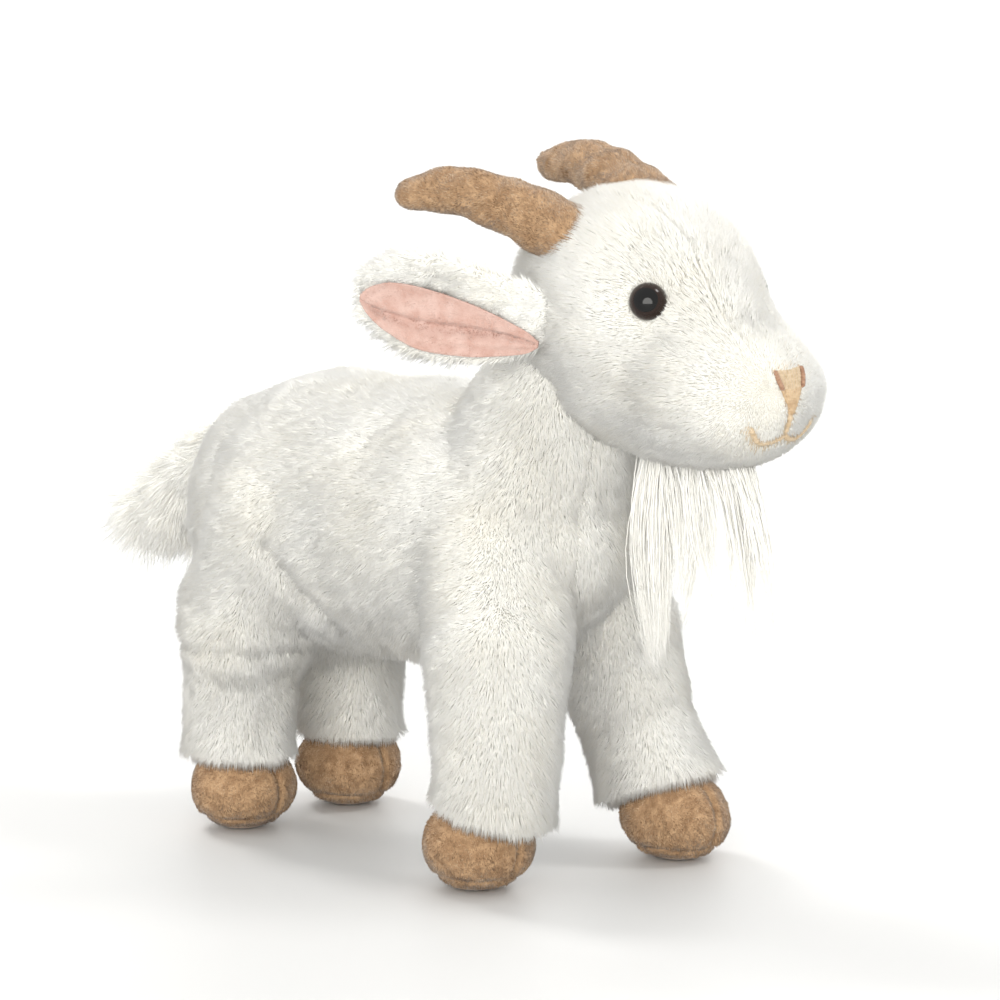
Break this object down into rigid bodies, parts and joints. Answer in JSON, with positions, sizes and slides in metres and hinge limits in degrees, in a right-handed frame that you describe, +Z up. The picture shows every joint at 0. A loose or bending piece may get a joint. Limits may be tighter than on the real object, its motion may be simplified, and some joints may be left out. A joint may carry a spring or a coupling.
{
  "type": "plush toy goat",
  "caption": "Standing white plush goat with fur covers over stuffing, brown curved horns and hooves, drooping pink-lined ears, glossy eyes, long beard and fluffy tail.",
  "frame": {"origin": "on the surface that it stands on, under the middle of the toy's box", "axes": "+Z up; the goat faces -Y and its own left side is +X"},
  "size_m": [0.1276, 0.2957, 0.2287],
  "materials": {
    "white_plush": "long-pile faux fur, matt",
    "brown_minky": "short-pile minky, soft sheen",
    "pink_velour": "velour, matt",
    "black_gloss": "polished",
    "tan_stitching": "satin-stitch embroidery thread",
    "polyester_fill": "loose fibre, hidden",
    "washer_nylon": "moulded, hidden"
  },
  "bodies": {
    "torso": {"body_side_right": "white_plush", "body_side_left": "white_plush", "belly_gusset": "white_plush", "body_filling": "polyester_fill"},
    "head": {"head_side_right": "white_plush", "head_side_left": "white_plush", "head_top_gusset": "white_plush", "chin_gusset": "white_plush", "head_filling": "polyester_fill", "horn_right_cover": "brown_minky", "horn_right_filling": "polyester_fill", "horn_left_cover": "brown_minky", "horn_left_filling": "polyester_fill", "eye_right": "black_gloss", "eye_right_washer": "washer_nylon", "eye_left": "black_gloss", "eye_left_washer": "washer_nylon", "nose": "tan_stitching", "mouth_stitching": "tan_stitching"},
    "ear_right": {"ear_right_back": "white_plush", "ear_right_lining": "pink_velour"},
    "ear_left": {"ear_left_back": "white_plush", "ear_left_lining": "pink_velour"},
    "beard": {"beard": "white_plush"},
    "tail": {"tail_cover": "white_plush", "tail_filling": "polyester_fill"},
    "leg_front_right": {"leg_front_right_cover": "white_plush", "leg_front_right_filling": "polyester_fill", "leg_front_right_hoof_cover": "brown_minky", "leg_front_right_hoof_sole": "brown_minky", "leg_front_right_hoof_filling": "polyester_fill"},
    "leg_front_left": {"leg_front_left_cover": "white_plush", "leg_front_left_filling": "polyester_fill", "leg_front_left_hoof_cover": "brown_minky", "leg_front_left_hoof_sole": "brown_minky", "leg_front_left_hoof_filling": "polyester_fill"},
    "leg_rear_right": {"leg_rear_right_cover": "white_plush", "leg_rear_right_filling": "polyester_fill", "leg_rear_right_hoof_cover": "brown_minky", "leg_rear_right_hoof_sole": "brown_minky", "leg_rear_right_hoof_filling": "polyester_fill"},
    "leg_rear_left": {"leg_rear_left_cover": "white_plush", "leg_rear_left_filling": "polyester_fill", "leg_rear_left_hoof_cover": "brown_minky", "leg_rear_left_hoof_sole": "brown_minky", "leg_rear_left_hoof_filling": "polyester_fill"}
  },
  "joints": [
    {"name": "head_turn", "type": "hinge", "parent": "torso", "child": "head", "pos_m": [0, -0.066, 0.17], "axis": [0, -0.4762, 0.8793], "range_deg": [-20, 20], "stiffness_Nm_per_rad": 0.5},
    {"name": "leg_front_right_swing", "type": "hinge", "parent": "torso", "child": "leg_front_right", "pos_m": [-0.032, -0.054, 0.074], "axis": [1, 0, 0], "range_deg": [-15, 15], "stiffness_Nm_per_rad": 1},
    {"name": "leg_front_left_swing", "type": "hinge", "parent": "torso", "child": "leg_front_left", "pos_m": [0.032, -0.047, 0.074], "axis": [1, 0, 0], "range_deg": [-15, 15], "stiffness_Nm_per_rad": 1},
    {"name": "leg_rear_right_swing", "type": "hinge", "parent": "torso", "child": "leg_rear_right", "pos_m": [-0.025, 0.062, 0.075], "axis": [1, 0, 0], "range_deg": [-15, 15], "stiffness_Nm_per_rad": 1},
    {"name": "leg_rear_left_swing", "type": "hinge", "parent": "torso", "child": "leg_rear_left", "pos_m": [0.025, 0.061, 0.075], "axis": [1, 0, 0], "range_deg": [-15, 15], "stiffness_Nm_per_rad": 1},
    {"name": "ear_right_flap", "type": "hinge", "parent": "head", "child": "ear_right", "pos_m": [-0.033, -0.075, 0.18], "axis": [-0.1384, -0.2049, 0.9689], "range_deg": [-20, 20], "stiffness_Nm_per_rad": 0.1},
    {"name": "ear_left_flap", "type": "hinge", "parent": "head", "child": "ear_left", "pos_m": [0.033, -0.075, 0.18], "axis": [-0.1384, 0.2049, -0.9689], "range_deg": [-20, 20], "stiffness_Nm_per_rad": 0.1},
    {"name": "tail_wag", "type": "hinge", "parent": "torso", "child": "tail", "pos_m": [0, 0.086, 0.123], "axis": [0, 0, 1], "range_deg": [-25, 25], "stiffness_Nm_per_rad": 0.1},
    {"name": "beard_sway", "type": "hinge", "parent": "head", "child": "beard", "pos_m": [0, -0.108, 0.13], "axis": [0, 1, 0], "range_deg": [-30, 30]}
  ]
}
